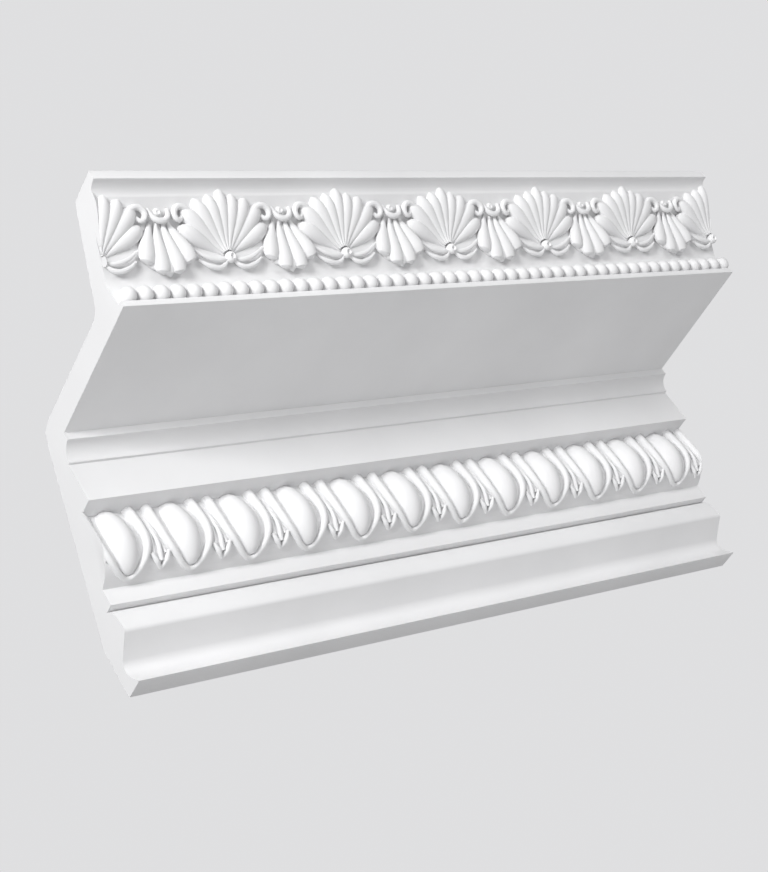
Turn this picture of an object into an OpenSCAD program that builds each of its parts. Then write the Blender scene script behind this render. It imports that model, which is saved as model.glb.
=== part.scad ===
// Cornice moulding length: a moulded rigid-foam cornice with a palmette frieze,
// a bead row, a deep soffit and an egg-and-dart band, cut square at both ends.
// X runs along the moulding, -Y faces the room, +Z is up, and the origin is the
// middle of the face that is glued to the wall.

/* [Length] */
// Length of the piece
run_length = 440; // [150:10:1000]
// Length of one frieze repeat, from palmette to palmette
repeat_length = 73.3; // [60:0.1:100]
// How far the left end is cut past a palmette's middle, as a share of a repeat
cut_phase = 0.02; // [0:0.01:1]

/* [Section] */
// Height of the section, bottom edge to ceiling
section_h = 178; // [165:1:215]
// How far the section stands out from the wall
projection = 170; // [168:1:230]
// Height of the face that touches the wall
wall_face_h = 28; // [20:1:34]
// Width of the face that touches the ceiling
ceiling_face_w = 19; // [12:1:26]
// Thickness of the canted frieze wall behind its ornament
frieze_wall = 13; // [8:0.5:18]
// Thickness of the soffit
soffit_wall = 14; // [8:0.5:20]
// Width of the soffit, nose to cove
soffit_w = 84; // [70:1:86]

/* [Members] */
// Lean of the frieze away from the vertical
frieze_lean = 29.7; // [20:0.1:34]
// Height of the nose under the bead row
nose_h = 3.5; // [2:0.5:5]
// Height of the bead row and its ground
bead_band_h = 13; // [11:0.5:16]
// Height of the fillet under the soffit
cove_fillet_h = 4.5; // [2:0.5:6]
// Radius of the cove under the soffit
cove_r = 8; // [5:0.5:10]
// Height of the plain fascia
fascia_h = 23; // [14:1:26]
// Depth of the undercut above the egg band
egg_undercut = 13; // [8:0.5:14]
// Height of the egg band
egg_band_h = 35; // [30:0.5:40]
// How far the middle of the egg band swells out
egg_band_swell = 2.2; // [0:0.1:3]
// How far the ground of the egg band falls back at its foot
egg_band_fall = 12; // [8:0.5:13]
// Height of the fillet under the egg band
lower_fillet_h = 9.5; // [6:0.5:12]
// Depth of the quirk under that fillet
quirk_depth = 6.5; // [3:0.5:9]
// Height of the rounded member over the hollow
roll_h = 13.5; // [10:0.5:15]
// Radius of the turn at the back of the bottom hollow
hollow_r = 5.5; // [4:0.5:6]
// Width of the flat bottom edge
bottom_w = 13; // [10:0.5:16]

/* [Ornament] */
// Diameter of one bead
bead_d = 9; // [7:0.1:9.6]
// Beads in one frieze repeat
beads_per_repeat = 8; // [6:1:9]
// Eggs in one frieze repeat
eggs_per_repeat = 2; // [1:1:2]
// Width of an egg
egg_w = 18; // [12:0.5:20]
// How far an egg stands out from its ground
egg_rise = 10; // [6:0.5:12]
// Width of the rim round an egg
rim_w = 4; // [2.5:0.25:5]
// Gap between an egg and its rim
rim_gap = 2; // [1:0.25:3]
// How far the rims and darts stand out from their ground
rim_rise = 5; // [2:0.5:6]
// Width of a dart's foot
dart_w = 7; // [4:0.25:9]
// Height of a palmette above its boss
palmette_h = 29; // [22:0.5:29]
// Width of one petal
petal_w = 8; // [5:0.5:9]
// How far petals and lobes stand out from the frieze
leaf_rise = 4.5; // [2:0.25:6]
// Petals on each side of a palmette
side_petals = 4; // [2:1:5]
// Angle from one petal to the next
petal_step = 18; // [12:0.5:20]
// Diameter of the boss at a palmette's base
boss_d = 6.4; // [4:0.2:8]
// Height of the boss above the frieze's lower edge
boss_level = 10.5; // [8:0.5:14]
// Height of a hanging leaf
leaf_h = 27; // [20:0.5:29]
// Width of one lobe of a hanging leaf
lobe_w = 8; // [5:0.5:9]
// Angle from one leaf lobe to the next
lobe_step = 13.5; // [9:0.5:16]
// Diameter of the volutes above a hanging leaf
volute_d = 8; // [5:0.5:10]
// Distance between the eyes of two volutes
volute_gap = 25; // [20:0.5:30]
// Width of a scroll strand
strand_w = 3.6; // [2.4:0.2:4.4]

/* [Hidden] */
$fn = 48;
white = [0.93, 0.93, 0.92];

// Pairs below are [distance out from the wall, height above the bottom edge].
nose_out = projection - 29;
soffit_z = section_h - 60;
ground_out = nose_out - 2.5;
cavetto_r = 4;
sink = 5;
skin = 0.3;
frieze_foot = [ground_out, soffit_z + nose_h + bead_band_h];
frieze_dir = [sin(frieze_lean), cos(frieze_lean)];
frieze_len = (section_h - 9 - frieze_foot[1]) / frieze_dir[1];
cove_out = nose_out - soffit_w;
fascia_top = soffit_z - cove_fillet_h - cove_r;
fascia_out = cove_out - cove_r - 1.5;
egg_top = fascia_top - fascia_h;
egg_ground_out = fascia_out - egg_undercut;
egg_foot = [egg_ground_out - egg_band_fall, egg_top - egg_band_h];
fillet_foot = egg_foot[1] - lower_fillet_h;
quirk_out = egg_foot[0] - quirk_depth;
roll_foot = fillet_foot - roll_h;
nose_r = 2.6;
hollow_depth = 9;
hollow_level = 10.2;
fascia_wall = 6.2;
egg_rows = 8;
origin_z = wall_face_h / 2;
end_x = run_length / 2;
first_x = -end_x - cut_phase * repeat_length;
egg_pitch = repeat_length / eggs_per_repeat;
bead_pitch = repeat_length / beads_per_repeat;

// Points of an elliptical arc about c, from angle a0 to a1
function arc(c, rx, ry, a0, a1, steps) =
    [for (i = [0 : steps]) let (a = a0 + (a1 - a0) * i / steps)
        [c[0] + rx * cos(a), c[1] + ry * sin(a)]];

// The ground of the egg band at share t of its height, from the top down
function egg_ground(t) =
    [egg_ground_out + egg_band_swell * sin(180 * t) - egg_band_fall * pow(t, 9), egg_top - egg_band_h * t];

// Share of the band's height at one of its rows, closer together toward the foot
function egg_share(row) = 1 - pow(1 - row / egg_rows, 1.6);

front = concat(
    [[projection, section_h], [projection, section_h - 1],
     [projection - 3, section_h - 4]],
    arc([projection - 4.5, section_h - 8.5], cavetto_r, cavetto_r, 90, 150, 4),
    [frieze_foot + frieze_len * frieze_dir, frieze_foot],
    [[ground_out, soffit_z + nose_h], [nose_out, soffit_z + nose_h], [nose_out, soffit_z],
     [cove_out, soffit_z]],
    arc([cove_out, fascia_top], cove_r, cove_r, 90, 180, 6),
    [[fascia_out, fascia_top], [fascia_out, egg_top]],
    [for (row = [0 : egg_rows]) egg_ground(egg_share(row))],
    [[egg_foot[0], fillet_foot]],
    arc([quirk_out, roll_foot], quirk_depth, roll_h, 90, 5, 7),
    arc([quirk_out + quirk_depth - nose_r, roll_foot - 0.2], nose_r, nose_r, -10, -58, 3),
    arc([quirk_out - hollow_depth + hollow_r, hollow_level], hollow_r, hollow_r, 125, 210, 5),
    [[bottom_w - 3.4, 4.2], [bottom_w - 1.6, 1.9], [bottom_w - 0.6, 1], [bottom_w, 0]]);

knee = [fascia_out - fascia_wall, soffit_z + soffit_wall - 7];
back = [
    [0, 0], [0, wall_face_h], knee, knee + [3, 5], knee + [9, 7],
    [nose_out - 22, soffit_z + soffit_wall],
    frieze_foot - [frieze_wall, 0] / frieze_dir[1],
    [projection - ceiling_face_w - 3, section_h - 4],
    [projection - ceiling_face_w, section_h]];

// Stands a drawing in the plane of the section up, from x0 to x1
module along(x0, x1)
    translate([x0, 0, -origin_z])
        rotate([90, 0, -90])
            mirror([0, 0, 1])
                linear_extrude(x1 - x0) children();

module section() polygon(concat(back, front));

module body() along(-end_x, end_x) section();

// A closed sheet from a grid of points. Each ring is one cross-section: its face points
// in order, then the two corners of its flat back, from the last face point's side.
module sheet(rings) {
    m = len(rings[0]);
    n = len(rings);
    face = m - 2;
    last = (n - 1) * m;
    // Points that divide the back edge of an end ring, so that its cap is a ladder
    function rungs(r) = [for (j = [1 : face - 2]) r[m - 1] + (r[m - 2] - r[m - 1]) * j / (face - 1)];
    points = concat([for (r = rings) each r], rungs(rings[0]), rungs(rings[n - 1]));
    function rung(j, end) =
        j == 0 ? end * last + m - 1 : j == face - 1 ? end * last + m - 2
            : n * m + end * (face - 2) + j - 1;
    polyhedron(
        points = points,
        faces = concat(
            [for (i = [0 : n - 2], j = [0 : m - 1]) if (j != m - 2 || (i > 0 && i < n - 2))
                let (k = (j + 1) % m) [i * m + j, i * m + k, (i + 1) * m + k, (i + 1) * m + j]],
            [[m + m - 2, m + m - 1, for (j = [0 : face - 1]) rung(j, 0)]],
            [[last - m + m - 1, last - m + m - 2, for (j = [face - 1 : -1 : 0]) rung(j, 1)]],
            [for (j = [0 : face - 2]) [j + 1, j, rung(j, 0), rung(j + 1, 0)]],
            [for (j = [0 : face - 2]) [last + j, last + j + 1, rung(j + 1, 1), rung(j, 1)]]));
}

// Height of a round bar of width wide, at distance across from its middle line
function bar(across, wide) = sqrt(max(0, 1 - pow(2 * across / wide, 2)));

// Height, as a share, of one fan of lobes that starts at [0, 0] and points along +Y
function fan(x, y, lobes, step, long, wide, droop) =
    let (r = norm([x, y]), a = atan2(x, y), i = max(-lobes, min(lobes, round(a / step))),
         reach = long - droop * abs(i), u = r * cos(a - i * step), v = r * sin(a - i * step),
         tip = max(0, (u - 0.7 * reach) / (0.3 * reach)))
    u < 1 || u > reach ? 0
        : bar(v, max(0.1, min(wide, 2.2 * u * tan(step / 2)) * sqrt(max(0, 1 - tip * tip))));

// Height of a quarter-round strand below the point c
function strand(x, y, c, r) =
    y > c[1] - 4 || abs(x - c[0]) > r * 0.75 ? 0 : bar(norm([x, y] - c) - r, strand_w);

// Height of the frieze ornament x along from a palmette's middle and y above the foot
function frieze_height(x, y) =
    let (ax = abs(x), leaf_x = repeat_length / 2 - ax,
         boss = bar(norm([x, y - boss_level]), boss_d),
         petals = y < boss_level ? 0
             : fan(x, y - boss_level, side_petals, petal_step, palmette_h, petal_w, 0),
         leaf = fan(leaf_x, boss_level + 19.5 - y, 2, lobe_step, leaf_h, lobe_w, 1.2),
         volute = bar(norm([leaf_x - volute_gap / 2, y - boss_level - 20.5]), volute_d),
         swags = max(strand(ax, y, [9.5, boss_level + 12], 12.5),
                     strand(ax, y, [9.5, boss_level + 12], 12.5 + strand_w)))
    leaf_rise * max(boss, petals, leaf * 1.15, volute * 0.8, swags * 0.6);

module frieze_ornament() {
    rows = 14;
    columns = 28 * round(run_length / repeat_length);
    sheet([for (i = [0 : columns])
        let (x = -end_x + run_length * i / columns,
             local = (x - first_x) - repeat_length * round((x - first_x) / repeat_length))
        [for (j = [0 : rows + 2])
            let (t = j > rows ? rows + 2 - j : j / rows,
                 h = j > rows ? -sink : skin + frieze_height(local, t * frieze_len),
                 out = frieze_foot[0] + t * frieze_len * frieze_dir[0] + h * frieze_dir[1],
                 z = frieze_foot[1] + t * frieze_len * frieze_dir[1] - h * frieze_dir[0])
            [x, -out, z - origin_z]]]);
}

// One row of round beads, each sunk a little into its ground
module beads() {
    count = floor((run_length - bead_d) / bead_pitch);
    first = -end_x + (run_length - count * bead_pitch) / 2;
    for (i = [0 : count])
        translate([first + i * bead_pitch, -(nose_out - 1.2), soffit_z + nose_h + bead_d / 2 - origin_z])
            sphere(d = bead_d);
}

// Cross-sections of one egg, as [place along, height], where 0 is its middle and t runs down
function egg_columns(t) =
    let (narrow = sqrt(max(0.02, 1 - pow(t, 3))), half = egg_w / 2 * narrow,
         rim_in = half + rim_gap, rim_out = rim_in + rim_w, mid = egg_pitch / 2,
         dart = min(dart_w / 2 * (0.35 + t), mid - rim_out - 0.3),
         fade = 1 - pow(t, 6))
    [[-mid, rim_rise * 0.8 * fade], [-mid + dart, 0], [-rim_out, 0],
     [-rim_in - rim_w / 2, rim_rise * fade], [-rim_in, 0], [-half, 0],
     [-half * 0.75, egg_rise * 0.66 * narrow], [-half * 0.35, egg_rise * 0.94 * narrow],
     [half * 0.35, egg_rise * 0.94 * narrow], [half * 0.75, egg_rise * 0.66 * narrow],
     [half, 0], [rim_in, 0], [rim_in + rim_w / 2, rim_rise * fade], [rim_out, 0],
     [mid - dart, 0]];

module egg_band() {
    count = round(run_length / egg_pitch);
    width = len(egg_columns(0));
    sheet([for (i = [0 : count * width])
        [for (j = [0 : egg_rows + 2])
            let (t = j > egg_rows ? j - egg_rows - 1 : egg_share(egg_rows - j),
                 c = egg_columns(t)[i % width], ground = egg_ground(t),
                 lift = j > egg_rows ? -sink : skin + c[1])
            [-end_x + (floor(i / width) + 0.5) * egg_pitch + c[0], -(ground[0] + lift),
             ground[1] - origin_z]]]);
}

module cornice_moulding()
    color(white)
        union() {
            body();
            beads();
            frieze_ornament();
            egg_band();
        }

cornice_moulding();
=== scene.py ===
import math

import bmesh
import bpy
from mathutils import Matrix, Vector


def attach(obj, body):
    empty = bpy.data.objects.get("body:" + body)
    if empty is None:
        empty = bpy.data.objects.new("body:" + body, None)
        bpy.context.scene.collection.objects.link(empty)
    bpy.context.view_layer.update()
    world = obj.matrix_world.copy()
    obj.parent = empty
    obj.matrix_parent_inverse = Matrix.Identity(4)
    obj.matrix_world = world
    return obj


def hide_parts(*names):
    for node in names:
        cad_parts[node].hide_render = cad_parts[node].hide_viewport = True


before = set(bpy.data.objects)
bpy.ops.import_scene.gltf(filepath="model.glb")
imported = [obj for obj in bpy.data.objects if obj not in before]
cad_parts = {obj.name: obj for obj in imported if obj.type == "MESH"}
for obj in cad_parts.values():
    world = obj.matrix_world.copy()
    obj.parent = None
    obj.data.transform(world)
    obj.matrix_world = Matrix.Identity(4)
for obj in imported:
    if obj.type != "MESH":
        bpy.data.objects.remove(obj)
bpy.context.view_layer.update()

# everything is shaped in millimetres and brought down to metres at the end
mm = 0.001


def deselectAll():
    if bpy.context.object and bpy.context.object.mode != "OBJECT":
        bpy.ops.object.mode_set(mode="OBJECT")
    bpy.ops.object.select_all(action="DESELECT")


def takeUp(piece):
    deselectAll()
    piece.select_set(True)
    bpy.context.view_layer.objects.active = piece


def named(name):
    piece = bpy.context.object
    piece.name = name
    piece.data.name = name
    return piece


# selects the points of the piece in edit mode whose place passes the test
def pickPoints(test):
    mesh = bmesh.from_edit_mesh(bpy.context.object.data)
    for point in mesh.verts:
        point.select_set(False)
    mesh.select_flush(False)
    for point in mesh.verts:
        if test(point.co):
            point.select_set(True)
    mesh.select_flush(True)
    bmesh.update_edit_mesh(bpy.context.object.data)


def placed(piece, turn=(0, 0, 0), move=(0, 0, 0), size=(1, 1, 1)):
    takeUp(piece)
    piece.rotation_euler = [math.radians(a) for a in turn]
    piece.location = move
    piece.scale = size
    bpy.ops.object.transform_apply(location=True, rotation=True, scale=True)
    return piece


def copyOf(piece, turn=(0, 0, 0), move=(0, 0, 0)):
    takeUp(piece)
    bpy.ops.object.duplicate(linked=False)
    return placed(bpy.context.object, turn, move)


def facesOut(piece):
    takeUp(piece)
    bpy.ops.object.mode_set(mode="EDIT")
    bpy.ops.mesh.select_all(action="SELECT")
    bpy.ops.mesh.remove_doubles(threshold=0.001)
    bpy.ops.mesh.normals_make_consistent(inside=False)
    bpy.ops.object.mode_set(mode="OBJECT")


# melts the other pieces into the first one, so that one closed skin is left
def meltTogether(piece, others, operation="UNION"):
    tray = bpy.data.collections.new("tray")
    bpy.context.scene.collection.children.link(tray)
    for other in others:
        tray.objects.link(other)
    takeUp(piece)
    cut = piece.modifiers.new("melt", "BOOLEAN")
    cut.operation = operation
    cut.operand_type = "COLLECTION"
    cut.collection = tray
    cut.solver = "MANIFOLD"
    bpy.ops.object.modifier_apply(modifier="melt")
    for other in others:
        bpy.data.objects.remove(other, do_unlink=True)
    bpy.data.collections.remove(tray)
    return piece


def arcPoints(centre, radiusA, radiusB, fromDeg, toDeg, steps):
    points = []
    for i in range(steps + 1):
        a = math.radians(fromDeg + (toDeg - fromDeg) * i / steps)
        points.append((centre[0] + radiusA * math.cos(a), centre[1] + radiusB * math.sin(a)))
    return points


# the section, as (distance out from the wall, height above the bottom edge)
section = {
    "length": 440, "height": 178, "projection": 170, "wallFace": 28, "ceilingFace": 19,
    "noseOut": 141, "noseHeight": 3.5, "soffitUnder": 118, "soffitWall": 14, "soffitBackEnd": 22,
    "groundInset": 2.5, "friezeFoot": 134.5, "friezeLean": 29.7, "friezeWall": 13, "friezeFlat": 25,
    "friezeLip": 2.6, "topFillet": 5.4, "cavettoRadius": 7.5, "cavettoInset": 1.2,
    "coveOut": 57, "coveFillet": 4.5, "coveRadius": 8, "fasciaOut": 47.5, "fasciaWall": 6.2,
    "eggTop": 82.5, "eggGroundOut": 34.5, "eggBandHeight": 35, "eggBandBulge": 2.2, "eggBandFall": 12,
    "filletFoot": 38, "quirkOut": 16, "rollOut": 22.5, "rollFoot": 24.5, "rollNose": 2.6,
    "hollowOut": 7, "hollowUp": 10.2, "hollowRadius": 5.5, "bottomWidth": 13,
    "softEdge": 0.45, "softAngle": 32, "overrun": 4,
}
halfLength = section["length"] / 2
originHeight = section["wallFace"] / 2
lean = math.radians(section["friezeLean"])
groundOut = section["noseOut"] - section["groundInset"]


def eggGround(t):
    bulge = section["eggBandBulge"] * math.sin(math.pi * t)
    out = section["eggGroundOut"] + bulge - section["eggBandFall"] * t ** 9
    return out, section["eggTop"] - section["eggBandHeight"] * t


# the rounded roll that turns over into the deep hollow, down to the bottom lip
def rollAndHollow():
    s = section
    nose = s["rollNose"]
    turn = s["hollowRadius"]
    points = arcPoints((s["quirkOut"], s["rollFoot"]), s["rollOut"] - s["quirkOut"],
                       s["filletFoot"] - s["rollFoot"], 90, 5, 10)
    points += arcPoints((s["rollOut"] - nose, s["rollFoot"] - 0.2), nose, nose, -10, -58, 5)
    points += arcPoints((s["hollowOut"] + turn, s["hollowUp"]), turn, turn, 125, 210, 9)
    return points + [(9.6, 4.2), (11.4, 1.9), (12.4, 1.0)]


def sectionOutline():
    s = section
    coveFoot = s["soffitUnder"] - s["coveFillet"] - s["coveRadius"]
    filletEnd = s["height"] - s["topFillet"]
    groundTop = s["friezeFoot"] + s["friezeFlat"]
    groundTopOut = groundOut + s["friezeFlat"] * math.tan(lean)
    kneeOut = s["fasciaOut"] - s["fasciaWall"]
    kneeUp = s["soffitUnder"] + s["soffitWall"] - 7
    back = [(0, 0), (0, s["wallFace"]), (kneeOut, kneeUp)]
    back += [(kneeOut + 3, kneeUp + 5), (kneeOut + 9, kneeUp + 7)]
    back += [(s["noseOut"] - s["soffitBackEnd"], s["soffitUnder"] + s["soffitWall"])]
    back += [(groundOut - s["friezeWall"] / math.cos(lean), s["friezeFoot"])]
    back += [(s["projection"] - s["ceilingFace"] - 3, s["height"] - 4)]
    back += [(s["projection"] - s["ceilingFace"], s["height"])]
    front = [(s["projection"], s["height"]), (s["projection"], filletEnd)]
    front += arcPoints((s["projection"] - s["cavettoInset"], filletEnd - s["cavettoRadius"]),
                       s["cavettoRadius"], s["cavettoRadius"], 90, 152, 8)
    front += [(groundTopOut + s["friezeLip"], groundTop + 3), (groundTopOut, groundTop)]
    front += [(groundOut, s["friezeFoot"]), (groundOut, s["soffitUnder"] + s["noseHeight"])]
    front += [(s["noseOut"], s["soffitUnder"] + s["noseHeight"]), (s["noseOut"], s["soffitUnder"])]
    front += [(s["coveOut"], s["soffitUnder"])]
    front += arcPoints((s["coveOut"], coveFoot), s["coveRadius"], s["coveRadius"], 90, 180, 10)
    front += [(s["fasciaOut"], coveFoot), (s["fasciaOut"], s["eggTop"])]
    front += [eggGround(1 - (1 - i / 16) ** 1.6) for i in range(17)]
    front += [(eggGround(1)[0], s["filletFoot"])]
    front += rollAndHollow()
    front += [(s["bottomWidth"], 0)]
    return back + front


# draws the outline point by point, fills it and pulls it out to length
def makeBody():
    longer = 2 * (halfLength + section["overrun"])
    outline = [Vector((0, -out, up - originHeight)) for out, up in sectionOutline()]
    bpy.ops.mesh.primitive_plane_add(size=1, location=(0, 0, 0))
    body = named("corniceBody")
    bpy.ops.object.mode_set(mode="EDIT")
    bpy.ops.mesh.merge(type="CENTER")
    bpy.ops.transform.translate(value=outline[0] - Vector((halfLength + section["overrun"], 0, 0)))
    for before, point in zip(outline, outline[1:]):
        bpy.ops.mesh.extrude_region_move(TRANSFORM_OT_translate={"value": point - before})
    bpy.ops.mesh.select_all(action="SELECT")
    bpy.ops.mesh.remove_doubles(threshold=0.01)
    bpy.ops.mesh.select_all(action="SELECT")
    bpy.ops.mesh.edge_face_add()
    bpy.ops.mesh.extrude_region_move(TRANSFORM_OT_translate={"value": (longer, 0, 0)})
    bpy.ops.object.mode_set(mode="OBJECT")
    facesOut(body)
    soft = body.modifiers.new("softEdges", "BEVEL")
    soft.width = section["softEdge"]
    soft.segments = 2
    soft.limit_method = "ANGLE"
    soft.angle_limit = math.radians(section["softAngle"])
    bpy.ops.object.modifier_apply(modifier="softEdges")
    return body


# ---- carving parts, all lying in the XY plane with +Z as the way out of the ground

# a petal or lobe that starts at the origin and lies along +Y
def makeLobe(name, long, wide, rise, curl=1.5, belly=0.66, bluntness=0.5):
    rings = 14
    bpy.ops.mesh.primitive_uv_sphere_add(segments=16, ring_count=rings, radius=1)
    lobe = placed(named(name), turn=(-90, 0, 0))
    bpy.ops.object.mode_set(mode="EDIT")
    for k in range(rings + 1):
        was = -math.cos(math.pi * k / rings)
        t = (k / rings) ** 0.9
        grow = math.sin(math.pi * min(1, t ** (math.log(0.5) / math.log(belly)))) ** bluntness
        shell = max(0.05, math.sqrt(max(0, 1 - was * was)))
        pickPoints(lambda p: abs(p.y - was) < 1e-4)
        bpy.ops.transform.resize(value=(wide / 2 * grow / shell, 1, 1))
        bpy.ops.transform.resize(value=(1, 1, rise * max(0.25, grow) / shell if 0 < k < rings else 1))
        bpy.ops.transform.translate(value=(0, t * long - was, curl * t ** 2.5))
    bpy.ops.object.mode_set(mode="OBJECT")
    facesOut(lobe)
    return lobe


# a round strand that is bent through the given points, with a thickness at each
def makeStrand(name, points, thick, ends=0.45, sides=3, smooth=6, swell=None):
    bpy.ops.curve.primitive_bezier_curve_add(radius=1, location=(0, 0, 0))
    strand = named(name)
    bpy.ops.object.mode_set(mode="EDIT")
    bpy.ops.curve.select_all(action="SELECT")
    bpy.ops.curve.subdivide(number_cuts=len(points) - 2)
    bpy.ops.object.mode_set(mode="OBJECT")
    line = strand.data
    for i, (knot, point) in enumerate(zip(line.splines[0].bezier_points, points)):
        knot.handle_left_type = "AUTO"
        knot.handle_right_type = "AUTO"
        knot.co = point
        along = i / (len(points) - 1)
        knot.radius = swell[i] if swell else ends + (1 - ends) * math.sin(math.pi * along) ** 0.5
    line.dimensions = "3D"
    line.bevel_depth = thick / 2
    line.bevel_resolution = sides
    line.resolution_u = smooth
    line.use_fill_caps = True
    takeUp(strand)
    bpy.ops.object.convert(target="MESH")
    facesOut(strand)
    return strand


def makeBall(name, across, dimple=0.0, flat=1.0):
    bpy.ops.mesh.primitive_uv_sphere_add(segments=18, ring_count=12, radius=across / 2)
    ball = named(name)
    bpy.ops.object.mode_set(mode="EDIT")
    bpy.ops.transform.resize(value=(1, 1, flat))
    if dimple:
        reach = across * 0.24
        pickPoints(lambda p: p.z > 0 and math.hypot(p.x, p.y) < reach)
        bpy.ops.transform.translate(value=(0, 0, -dimple))
    bpy.ops.object.mode_set(mode="OBJECT")
    return ball


palmette = {
    "repeat": 73.3, "cutPhase": 0.02, "bossUp": 11.2, "bossAcross": 5.8,
    "petalTurns": (0, 13.5, 28, 43, 59), "petalLengths": (34.5, 32.5, 33.5, 34.5, 31),
    "petalWidths": (8.4, 8.6, 9.2, 9.6, 9.2), "petalRise": 3.6, "petalCurl": 1.6,
    "dome": 2.6, "petalTilt": 0.3, "eyeAcross": 25, "eyeUp": 21,
    "ribbonThick": 2.6, "ribbons": ((0, 21, 5.0), (4.2, 19, 4.0)),
    "voluteThick": 3.3, "voluteSwell": (0.5, 0.85, 1, 1, 0.9, 0.75, 0.6),
    "voluteTurn": ((11, 214, 2.0), (6.6, 180, 2.8), (4.7, 128, 3.2), (3.8, 65, 3.4), (3.3, 0, 3.4),
                   (2.7, -70, 3.0), (1.6, -150, 2.4)),
    "repeats": 7,
}


def makePalmette():
    p = palmette
    parts = []
    for i, turn in enumerate(p["petalTurns"]):
        petal = makeLobe("petal", p["petalLengths"][i], p["petalWidths"][i], p["petalRise"],
                         curl=p["petalCurl"], bluntness=0.6, belly=0.72)
        high = p["dome"] * math.cos(math.radians(turn * 1.25)) - 0.8
        for side in (1, -1):
            if turn or side == 1:
                tilted = copyOf(petal, turn=(0, -side * turn * p["petalTilt"], 0))
                parts.append(placed(tilted, turn=(0, 0, side * turn), move=(0, p["bossUp"], high)))
        bpy.data.objects.remove(petal, do_unlink=True)
    boss = makeBall("boss", p["bossAcross"], dimple=1.6, flat=0.95)
    parts.append(placed(boss, move=(0, p["bossUp"] - 0.6, 2.4)))
    for side in (1, -1):
        up = p["bossUp"] - 1.0
        for drop, reach, rise in p["ribbons"]:
            route = [(side * 1.2, up, 1.8), (side * 6, up - 1.0 - drop * 0.8, 2.6),
                     (side * 13, up + 0.4 - drop, 2.8), (side * reach, up + rise - drop, 2.0)]
            parts.append(makeStrand("ribbon", route, p["ribbonThick"], ends=0.5))
        eye = (side * p["eyeAcross"], p["bossUp"] + p["eyeUp"])
        curl = [(eye[0] + side * r * math.cos(math.radians(a)), eye[1] + r * math.sin(math.radians(a)), h)
                for r, a, h in p["voluteTurn"]]
        parts.append(makeStrand("volute", curl, p["voluteThick"], swell=p["voluteSwell"]))
    return parts


hangingLeaf = {
    "top": 31.5, "foldAcross": (1.5, 4.2), "foldTurns": (7, 21), "foldLengths": (29, 25),
    "foldWidths": (9.6, 10), "rise": 3.2, "curl": 2.2,
    "backing": (("leafTip", 29.5, 6, 3.4), ("leafSkirt", 27, 24, 3.0)), "budAcross": 4.6, "claspThick": 3.0,
    "clasp": ((-5.6, 35.5, 2.2), (-4.8, 32.2, 3.2), (-2.8, 30, 3.8), (0, 29.2, 4.0), (2.8, 30, 3.8),
              (4.8, 32.2, 3.2), (5.6, 35.5, 2.2)),
}


def makeHangingLeaf():
    h = hangingLeaf
    parts = []
    for i, turn in enumerate(h["foldTurns"]):
        fold = makeLobe("leafFold", h["foldLengths"][i], h["foldWidths"][i], h["rise"],
                        curl=h["curl"], belly=0.76, bluntness=0.42)
        for side in (1, -1):
            tilted = copyOf(fold, turn=(0, side * turn * 0.5, 0))
            parts.append(placed(tilted, turn=(0, 0, 180 + side * turn),
                                move=(side * h["foldAcross"][i], h["top"], 1.4 - 0.35 * i)))
        bpy.data.objects.remove(fold, do_unlink=True)
    for name, long, wide, high in h["backing"]:
        back = makeLobe(name, long, wide, high, curl=1.6, belly=0.8)
        parts.append(placed(back, turn=(0, 0, 180), move=(0, h["top"], 0.2)))
    parts.append(makeStrand("clasp", h["clasp"], h["claspThick"], ends=0.6))
    bud = makeBall("bud", h["budAcross"], dimple=0.6, flat=0.9)
    parts.append(placed(bud, move=(0, 34, 1.2)))
    return parts


eggs = {
    "pitch": 36.65, "firstAt": 13.0, "width": 17.4, "below": 17.2, "above": 21, "depth": 9.2, "lean": 3.4,
    "centreUp": 66, "centreOut": 33.6, "rimHalf": 13.4, "rimThick": 5.6, "rimLift": 0.8,
    "rimHalfPath": ((0, 48.6, 0.56), (0.3, 49.4, 0.57), (0.58, 51.8, 0.6), (0.8, 55.6, 0.68),
                    (0.95, 61, 0.8), (1, 68, 0.92), (0.99, 76, 1), (0.97, 84, 1.04)),
    "dartRidge": ((76, 0), (68, 0.6), (59, 1.2), (51.5, 1.6)),
    "dartEdge": ((0.5, 75), (1.5, 65), (3.4, 54.5)),
    "barb": ((0.2, 49.6, 1.4), (2.7, 51.4, 2.0), (5.0, 55, 1.2)),
    "count": 14,
}


def onEggGround(across, up, lift):
    t = (section["eggTop"] - up) / section["eggBandHeight"]
    return across, up, eggGround(min(1, max(0, t)))[0] + lift


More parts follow.
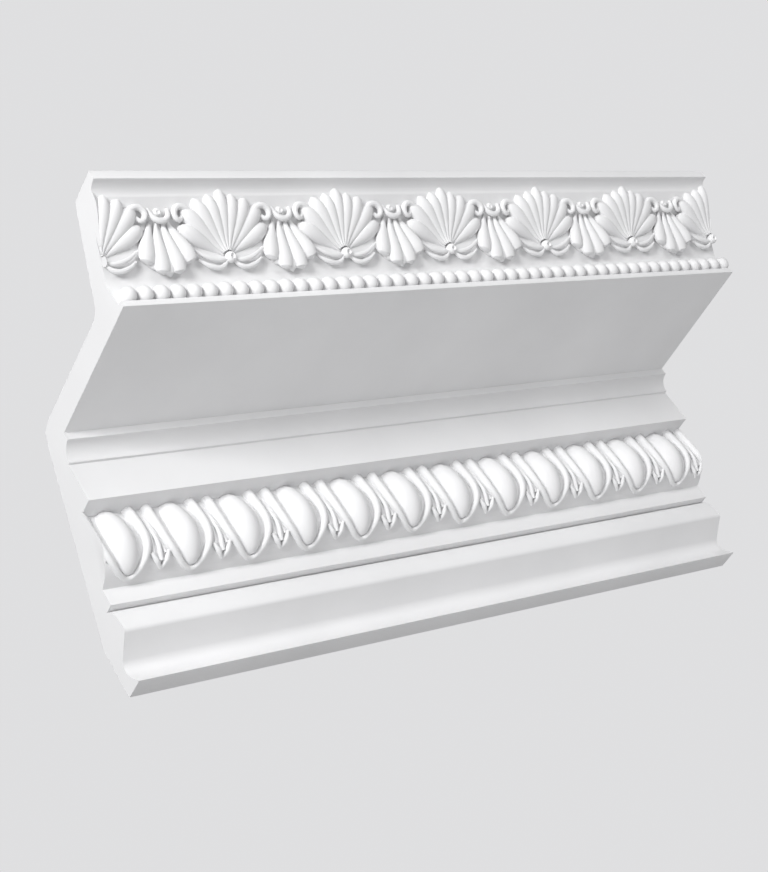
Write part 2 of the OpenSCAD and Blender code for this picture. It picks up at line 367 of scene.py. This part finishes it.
# one egg in its rim, with a dart to its right, standing upright with +Z out of the wall
def makeEgg():
    e = eggs
    parts = []
    rings = 20
    bpy.ops.mesh.primitive_uv_sphere_add(segments=28, ring_count=rings, radius=1)
    egg = placed(named("egg"), turn=(-90, 0, 0))
    bpy.ops.object.mode_set(mode="EDIT")
    for k in range(rings + 1):
        was = -math.cos(math.pi * k / rings)
        low = was * e["below"] if was < 0 else was * e["above"]
        pickPoints(lambda p: abs(p.y - was) < 1e-4)
        bpy.ops.transform.resize(value=(e["width"] / 2, 1, e["depth"]))
        bpy.ops.transform.translate(value=(0, low - was, -e["lean"] * was * was))
    bpy.ops.object.mode_set(mode="OBJECT")
    parts.append(placed(egg, move=(0, e["centreUp"], e["centreOut"])))
    half = e["rimHalfPath"]
    rim = [onEggGround(-side * e["rimHalf"], up, e["rimLift"]) for side, up, _ in reversed(half)]
    rim += [onEggGround(side * e["rimHalf"], up, e["rimLift"]) for side, up, _ in half[1:]]
    swell = [thick for _, _, thick in reversed(half)] + [thick for _, _, thick in half[1:]]
    parts.append(makeStrand("rim", rim, e["rimThick"], sides=4, smooth=4, swell=swell))
    middle = e["pitch"] / 2
    ridge = [onEggGround(middle, up, lift) for up, lift in e["dartRidge"]]
    parts.append(makeStrand("dart", ridge, 2.6, swell=(0.4, 0.6, 0.85, 1)))
    for side in (1, -1):
        edge = [onEggGround(middle + side * across, up, 0.4) for across, up in e["dartEdge"]]
        parts.append(makeStrand("dartEdge", edge, 2.0, swell=(0.5, 0.8, 1)))
        barb = [onEggGround(middle + side * across, up, lift) for across, up, lift in e["barb"]]
        parts.append(makeStrand("barb", barb, 2.8, ends=0.6))
    return parts


beads = {"across": 9.0, "perRepeat": 8, "firstAt": 6.7, "standOut": 1.4, "count": 48}


def alongFrieze(parts, shift):
    for part in parts:
        placed(part, turn=(90 + section["friezeLean"], 0, 0),
               move=(shift, -groundOut, section["friezeFoot"] - originHeight))


def repeatRow(parts, step, count):
    made = list(parts)
    for i in range(1, count):
        made += [copyOf(part, move=(i * step, 0, 0)) for part in parts]
    return made


print("section body")
body = makeBody()
step = palmette["repeat"]
firstPalmette = -halfLength - palmette["cutPhase"] * step

print("frieze carving")
oneRepeat = makePalmette()
leafParts = makeHangingLeaf()
for part in leafParts:
    placed(part, move=(step / 2, 0, 0))
oneRepeat += leafParts
alongFrieze(oneRepeat, firstPalmette)
friezeUnit = meltTogether(oneRepeat[0], oneRepeat[1:])
print("  one repeat:", len(friezeUnit.data.polygons), "faces")
friezeRow = repeatRow([friezeUnit], step, palmette["repeats"])

print("egg band")
eggUnit = makeEgg()
for part in eggUnit:
    placed(part, turn=(90, 0, 0), move=(-halfLength + eggs["firstAt"], 0, -originHeight))
eggUnit = meltTogether(eggUnit[0], eggUnit[1:])
print("  one egg:", len(eggUnit.data.polygons), "faces")
placed(eggUnit, move=(-eggs["pitch"], 0, 0))
eggRow = repeatRow([eggUnit], eggs["pitch"], eggs["count"])

print("bead row")
bead = makeBall("bead", beads["across"])
beadStep = step / beads["perRepeat"]
beadUp = section["soffitUnder"] + section["noseHeight"] + beads["across"] / 2 - originHeight
beadOut = section["noseOut"] - beads["standOut"]
placed(bead, turn=(90, 0, 0), move=(beads["firstAt"] - halfLength, -beadOut, beadUp))
beadRow = repeatRow([bead], beadStep, beads["count"])

print("one solid")
cornice = meltTogether(body, friezeRow + eggRow + beadRow)
bpy.ops.mesh.primitive_cube_add(size=1)
block = placed(named("lengthBlock"), move=(0, -80, 80), size=(2 * halfLength, 260, 260))
cornice = meltTogether(cornice, [block], "INTERSECT")
placed(cornice, size=(mm, mm, mm))
cornice.name = "corniceMoulding"
takeUp(cornice)
bpy.ops.object.shade_smooth_by_angle(angle=math.radians(section["softAngle"]))
print("  faces:", len(cornice.data.polygons))


foam = {"patchScale": 14, "darkTone": (0.79, 0.79, 0.795, 1), "lightTone": (0.84, 0.84, 0.845, 1),
        "grainScale": 900, "grainDepth": 0.0002, "grainStrength": 0.12, "smoothest": 0.42, "roughest": 0.56}


# white primed foam: even white, a soft sheen and a very fine grain
def makePrimedFoam():
    paint = bpy.data.materials.new("primedFoam")
    paint.use_nodes = True
    nodes = paint.node_tree.nodes
    links = paint.node_tree.links
    shader = nodes["Principled BSDF"]
    place = nodes.new("ShaderNodeTexCoord")
    cloud = nodes.new("ShaderNodeTexNoise")
    cloud.inputs["Scale"].default_value = foam["patchScale"]
    cloud.inputs["Detail"].default_value = 4
    tone = nodes.new("ShaderNodeValToRGB")
    tone.color_ramp.elements[0].color = foam["darkTone"]
    tone.color_ramp.elements[1].color = foam["lightTone"]
    tone.color_ramp.elements[0].position = 0.3
    tone.color_ramp.elements[1].position = 0.7
    links.new(place.outputs["Object"], cloud.inputs["Vector"])
    links.new(cloud.outputs["Fac"], tone.inputs["Fac"])
    links.new(tone.outputs["Color"], shader.inputs["Base Color"])
    grain = nodes.new("ShaderNodeTexNoise")
    grain.inputs["Scale"].default_value = foam["grainScale"]
    grain.inputs["Detail"].default_value = 3
    links.new(place.outputs["Object"], grain.inputs["Vector"])
    bump = nodes.new("ShaderNodeBump")
    bump.inputs["Strength"].default_value = foam["grainStrength"]
    bump.inputs["Distance"].default_value = foam["grainDepth"]
    links.new(grain.outputs["Fac"], bump.inputs["Height"])
    links.new(bump.outputs["Normal"], shader.inputs["Normal"])
    sheen = nodes.new("ShaderNodeMapRange")
    sheen.inputs["To Min"].default_value = foam["smoothest"]
    sheen.inputs["To Max"].default_value = foam["roughest"]
    links.new(cloud.outputs["Fac"], sheen.inputs["Value"])
    links.new(sheen.outputs["Result"], shader.inputs["Roughness"])
    shader.inputs["Specular IOR Level"].default_value = 0.4
    return paint


cornice.data.materials.clear()
cornice.data.materials.append(makePrimedFoam())
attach(cornice, "root")
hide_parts("cornice_moulding")

studio = {
    "floorDrop": 1.2, "floorTone": (0.8, 0.8, 0.8, 1), "floorLift": 0.38,
    "ambientTone": (0.9, 0.9, 0.92, 1), "ambientStrength": 0.3, "backdropTone": (0.74, 0.74, 0.75, 1),
    "lights": (("keyLight", (-1.45, -1.0, 0.2), 23.5, 0.5), ("fillLight", (0.4, -1.7, 0.35), 8, 1.0),
               ("backLight", (0.5, 1.7, 1.1), 30, 1.4)),
    "lightAim": (0, -0.08, 0.07), "eye": (-0.6729, -0.6412, -0.3893), "ahead": (0.6501, 0.5936, 0.4743),
    "upward": (0.0943, -0.6824, 0.7248), "lens": 75,
}


def makeStudio():
    print("floor, lights and camera")
    bpy.ops.mesh.primitive_plane_add(size=12, location=(0, 0, -studio["floorDrop"]))
    floor = named("floor")
    paint = bpy.data.materials.new("floorPaint")
    paint.use_nodes = True
    nodes = paint.node_tree.nodes
    links = paint.node_tree.links
    shader = nodes["Principled BSDF"]
    shader.inputs["Base Color"].default_value = studio["floorTone"]
    shader.inputs["Roughness"].default_value = 0.9
    shader.inputs["Emission Color"].default_value = (1, 1, 1, 1)
    # the floor looks pale without throwing more light up at the soffit
    lifted = nodes.new("ShaderNodeMath")
    lifted.operation = "MULTIPLY"
    lifted.inputs[1].default_value = studio["floorLift"]
    eyeRay = nodes.new("ShaderNodeLightPath")
    links.new(eyeRay.outputs["Is Camera Ray"], lifted.inputs[0])
    links.new(lifted.outputs["Value"], shader.inputs["Emission Strength"])
    floor.data.materials.append(paint)
    world = bpy.data.worlds.new("studio")
    bpy.context.scene.world = world
    world.use_nodes = True
    nodes = world.node_tree.nodes
    links = world.node_tree.links
    ambient = nodes["Background"]
    ambient.inputs["Color"].default_value = studio["ambientTone"]
    ambient.inputs["Strength"].default_value = studio["ambientStrength"]
    backdrop = nodes.new("ShaderNodeBackground")
    backdrop.inputs["Color"].default_value = studio["backdropTone"]
    seen = nodes.new("ShaderNodeLightPath")
    either = nodes.new("ShaderNodeMixShader")
    links.new(seen.outputs["Is Camera Ray"], either.inputs["Fac"])
    links.new(ambient.outputs["Background"], either.inputs[1])
    links.new(backdrop.outputs["Background"], either.inputs[2])
    links.new(either.outputs["Shader"], nodes["World Output"].inputs["Surface"])
    for name, place, power, size in studio["lights"]:
        bpy.ops.object.light_add(type="AREA", location=place)
        light = named(name)
        light.data.energy = power
        light.data.size = size
        aim = Vector(studio["lightAim"]) - Vector(place)
        light.rotation_euler = aim.to_track_quat("-Z", "Y").to_euler()
    bpy.ops.object.camera_add(location=studio["eye"])
    camera = named("camera")
    ahead = Vector(studio["ahead"]).normalized()
    upward = Vector(studio["upward"]).normalized()
    turn = Matrix((ahead.cross(upward), upward, -ahead)).transposed()
    camera.rotation_euler = turn.to_euler()
    camera.data.sensor_fit = "VERTICAL"
    camera.data.sensor_height = 36
    camera.data.lens = studio["lens"]
    bpy.context.scene.camera = camera


makeStudio()
bpy.context.scene.view_settings.view_transform = "Standard"
